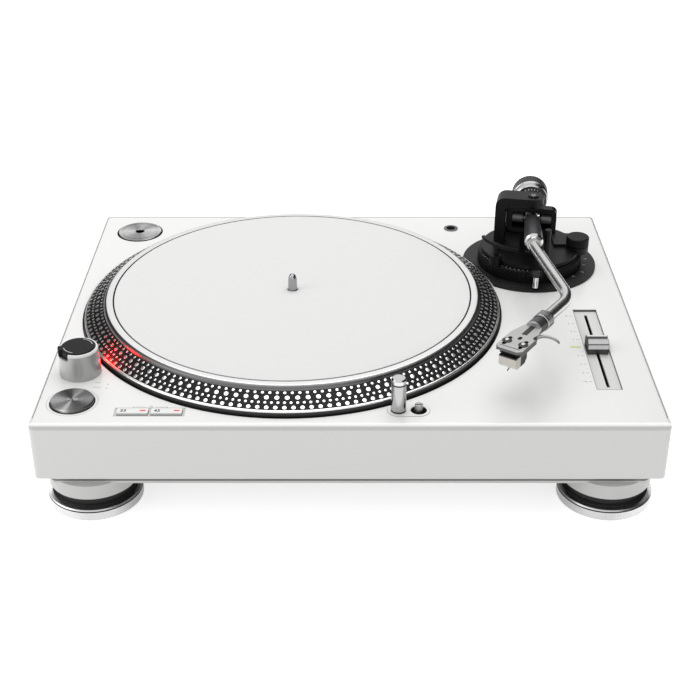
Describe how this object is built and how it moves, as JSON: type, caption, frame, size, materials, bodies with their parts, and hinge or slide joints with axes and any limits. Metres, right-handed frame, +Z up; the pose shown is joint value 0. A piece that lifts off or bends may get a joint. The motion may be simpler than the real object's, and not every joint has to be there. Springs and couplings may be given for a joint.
{
  "type": "turntable",
  "caption": "Direct-drive turntable with a white cabinet, strobe-rimmed platter, slip mat, S-shaped gimbal tonearm, pitch fader, pop-up lamp and levelling feet.",
  "frame": {"origin": "on the floor under the middle of the cabinet", "axes": "+X to the right as the player stands, +Y to the back, +Z up"},
  "size_m": [0.45, 0.354, 0.1472],
  "materials": {
    "white_lacquer": "gloss white",
    "steel": "zinc plated",
    "board": "circuit board",
    "copper": "enamelled wire",
    "bronze": "turned",
    "core": "laminated core",
    "magnet": "sintered",
    "pale_panel": "satin",
    "black_plastic": "fine matt",
    "pale_plastic": "satin",
    "red_lens": "clear red",
    "grey_metal": "anodised",
    "gold_plate": "plated",
    "aluminium": "turned and anodised",
    "chrome": "polished",
    "felt": "pressed felt",
    "weight": "black coated",
    "ivory": "satin",
    "rubber": "matt"
  },
  "bodies": {
    "chassis": {"cabinet_shell": "white_lacquer", "base_tray": "white_lacquer", "base_screws": "steel", "motor_board": "board", "stator_coils": "copper", "spindle_bearing": "bronze", "main_board": "board", "power_supply": "core", "control_board": "board", "tempo_panel": "pale_panel", "tempo_track": "black_plastic", "lamp_plate": "pale_panel", "strobe_tower": "pale_plastic", "strobe_lens": "red_lens", "shell_stand": "grey_metal", "arm_flange": "black_plastic", "rear_bays": "black_plastic", "output_jacks": "gold_plate", "mains_inlet": "black_plastic"},
    "start_button": {"start_button": "aluminium"},
    "speed_button_33": {"speed_button_33": "pale_plastic"},
    "speed_button_45": {"speed_button_45": "pale_plastic"},
    "power_knob": {"power_knob": "black_plastic"},
    "tempo_knob": {"tempo_knob": "aluminium"},
    "target_lamp": {"target_lamp": "aluminium"},
    "lamp_button": {"lamp_button": "aluminium"},
    "adapter": {"adapter_45": "aluminium"},
    "platter": {"platter": "aluminium", "rotor_magnet": "magnet", "spindle": "steel"},
    "slipmat": {"slipmat": "felt"},
    "height_ring": {"height_ring": "black_plastic"},
    "arm_base": {"arm_base": "black_plastic", "gimbal_bracket": "black_plastic", "pivot_screw": "steel", "arm_rest": "black_plastic"},
    "anti_skate": {"anti_skate_knob": "black_plastic"},
    "lift": {"lift_bar": "steel"},
    "cue_lever": {"cue_lever": "chrome"},
    "yoke": {"gimbal_yoke": "black_plastic"},
    "axle": {"pivot_axle": "steel"},
    "arm": {"arm_hub": "grey_metal", "arm_tube": "chrome", "headshell": "aluminium", "finger_lift": "aluminium", "cartridge": "ivory", "stylus": "black_plastic"},
    "collar_nut": {"collar_nut": "aluminium"},
    "weight_bush": {"weight_bush": "grey_metal"},
    "counterweight": {"counterweight": "weight"},
    "tracking_dial": {"tracking_dial": "black_plastic"},
    "foot_stem_fl": {"foot_damper_fl": "rubber"},
    "foot_fl": {"foot_ring_fl": "chrome"},
    "foot_stem_fr": {"foot_damper_fr": "rubber"},
    "foot_fr": {"foot_ring_fr": "chrome"},
    "foot_stem_bl": {"foot_damper_bl": "rubber"},
    "foot_bl": {"foot_ring_bl": "chrome"},
    "foot_stem_br": {"foot_damper_br": "rubber"},
    "foot_br": {"foot_ring_br": "chrome"}
  },
  "joints": [
    {"name": "platter_spin", "type": "hinge", "parent": "chassis", "child": "platter", "pos_m": [-0.046, -0.001, 0.084], "axis": [0, 0, 1], "continuous": true},
    {"name": "slipmat_slip", "type": "hinge", "parent": "platter", "child": "slipmat", "pos_m": [-0.046, -0.001, 0.084], "axis": [0, 0, 1], "continuous": true},
    {"name": "power_turn", "type": "hinge", "parent": "chassis", "child": "power_knob", "pos_m": [-0.19949, -0.10481, 0.084], "axis": [0, 0, 1], "range_deg": [0, 36]},
    {"name": "start_button_press", "type": "slide", "parent": "chassis", "child": "start_button", "axis": [0, 0, -1], "range_m": [0, 0.001], "stiffness_N_per_m": 900, "springref_m": -0.001},
    {"name": "speed_button_33_press", "type": "slide", "parent": "chassis", "child": "speed_button_33", "axis": [0, 0, -1], "range_m": [0, 0.001], "stiffness_N_per_m": 900, "springref_m": -0.001},
    {"name": "speed_button_45_press", "type": "slide", "parent": "chassis", "child": "speed_button_45", "axis": [0, 0, -1], "range_m": [0, 0.001], "stiffness_N_per_m": 900, "springref_m": -0.001},
    {"name": "lamp_pop", "type": "slide", "parent": "chassis", "child": "target_lamp", "axis": [0, 0, -1], "range_m": [0, 0.026], "stiffness_N_per_m": 40, "springref_m": -0.02},
    {"name": "lamp_button_press", "type": "slide", "parent": "chassis", "child": "lamp_button", "axis": [0, 0, -1], "range_m": [0, 0.002], "stiffness_N_per_m": 600, "springref_m": -0.001},
    {"name": "tempo_slide", "type": "slide", "parent": "chassis", "child": "tempo_knob", "axis": [0, 1, 0], "range_m": [-0.048, 0.048]},
    {"name": "adapter_lift", "type": "slide", "parent": "chassis", "child": "adapter", "axis": [0, 0, 1], "range_m": [0, 0.03]},
    {"name": "height_turn", "type": "hinge", "parent": "chassis", "child": "height_ring", "pos_m": [0.15376, 0.0785, 0.084], "axis": [0, 0, 1], "range_deg": [0, 120.1]},
    {"name": "arm_height", "type": "slide", "parent": "chassis", "child": "arm_base", "axis": [0, 0, 1], "range_m": [0, 0.006]},
    {"name": "anti_skate_turn", "type": "hinge", "parent": "arm_base", "child": "anti_skate", "pos_m": [0.19336, 0.0745, 0.084], "axis": [0, 0, 1], "range_deg": [0, 270]},
    {"name": "cue_lever_turn", "type": "hinge", "parent": "arm_base", "child": "cue_lever", "pos_m": [0.15324, 0.0277, 0.099], "axis": [-0.9823, 0.1874, 0], "range_deg": [0, 75.1]},
    {"name": "lift_up", "type": "slide", "parent": "arm_base", "child": "lift", "axis": [0, 0, 1], "range_m": [0, 0.00185]},
    {"name": "arm_swing", "type": "hinge", "parent": "arm_base", "child": "yoke", "pos_m": [0.15376, 0.0785, 0.126], "axis": [0, 0, 1], "range_deg": [-42.5, 0]},
    {"name": "lift_tilt", "type": "hinge", "parent": "yoke", "child": "axle", "pos_m": [0.15376, 0.0785, 0.126], "axis": [-0.9823, 0.1874, 0], "range_deg": [0, 2.4]},
    {"name": "arm_tilt", "type": "hinge", "parent": "axle", "child": "arm", "pos_m": [0.15376, 0.0785, 0.126], "axis": [-0.9823, 0.1874, 0], "range_deg": [-2.4, 4]},
    {"name": "collar_turn", "type": "hinge", "parent": "arm", "child": "collar_nut", "pos_m": [0.13737, -0.10754, 0.126], "axis": [-0.5563, -0.831, 0], "range_deg": [0, 60]},
    {"name": "weight_slide", "type": "slide", "parent": "arm", "child": "weight_bush", "axis": [-0.0837, -0.9965, 0], "range_m": [-0.003, 0.003]},
    {"name": "weight_turn", "type": "hinge", "parent": "weight_bush", "child": "counterweight", "pos_m": [0.15376, 0.0785, 0.126], "axis": [-0.0837, -0.9965, 0], "range_deg": [-540, 540]},
    {"name": "dial_turn", "type": "hinge", "parent": "weight_bush", "child": "tracking_dial", "pos_m": [0.15376, 0.0785, 0.126], "axis": [-0.0837, -0.9965, 0], "range_deg": [-170, 170]},
    {"name": "foot_lift_fl", "type": "slide", "parent": "chassis", "child": "foot_stem_fl", "axis": [0, 0, 1], "range_m": [-0.005, 0]},
    {"name": "foot_turn_fl", "type": "hinge", "parent": "foot_stem_fl", "child": "foot_fl", "pos_m": [-0.1895, -0.141, 0], "axis": [0, 0, 1], "range_deg": [0, 900]},
    {"name": "foot_lift_fr", "type": "slide", "parent": "chassis", "child": "foot_stem_fr", "axis": [0, 0, 1], "range_m": [-0.005, 0]},
    {"name": "foot_turn_fr", "type": "hinge", "parent": "foot_stem_fr", "child": "foot_fr", "pos_m": [0.1895, -0.141, 0], "axis": [0, 0, 1], "range_deg": [0, 900]},
    {"name": "foot_lift_bl", "type": "slide", "parent": "chassis", "child": "foot_stem_bl", "axis": [0, 0, 1], "range_m": [-0.005, 0]},
    {"name": "foot_turn_bl", "type": "hinge", "parent": "foot_stem_bl", "child": "foot_bl", "pos_m": [-0.1895, 0.141, 0], "axis": [0, 0, 1], "range_deg": [0, 900]},
    {"name": "foot_lift_br", "type": "slide", "parent": "chassis", "child": "foot_stem_br", "axis": [0, 0, 1], "range_m": [-0.005, 0]},
    {"name": "foot_turn_br", "type": "hinge", "parent": "foot_stem_br", "child": "foot_br", "pos_m": [0.1895, 0.141, 0], "axis": [0, 0, 1], "range_deg": [0, 900]}
  ],
  "couplings": [
    {"joint": "height_turn", "follows": "arm_height", "rad_per_m": 349.07},
    {"joint": "lift_up", "follows": "lift_tilt", "m_per_rad": 0.043982},
    {"joint": "cue_lever_turn", "follows": "lift_tilt", "ratio": 31.289},
    {"joint": "weight_slide", "follows": "weight_turn", "m_per_rad": 0.00031831},
    {"joint": "foot_lift_fl", "follows": "foot_turn_fl", "m_per_rad": -0.00031831},
    {"joint": "foot_lift_fr", "follows": "foot_turn_fr", "m_per_rad": -0.00031831},
    {"joint": "foot_lift_bl", "follows": "foot_turn_bl", "m_per_rad": -0.00031831},
    {"joint": "foot_lift_br", "follows": "foot_turn_br", "m_per_rad": -0.00031831}
  ]
}
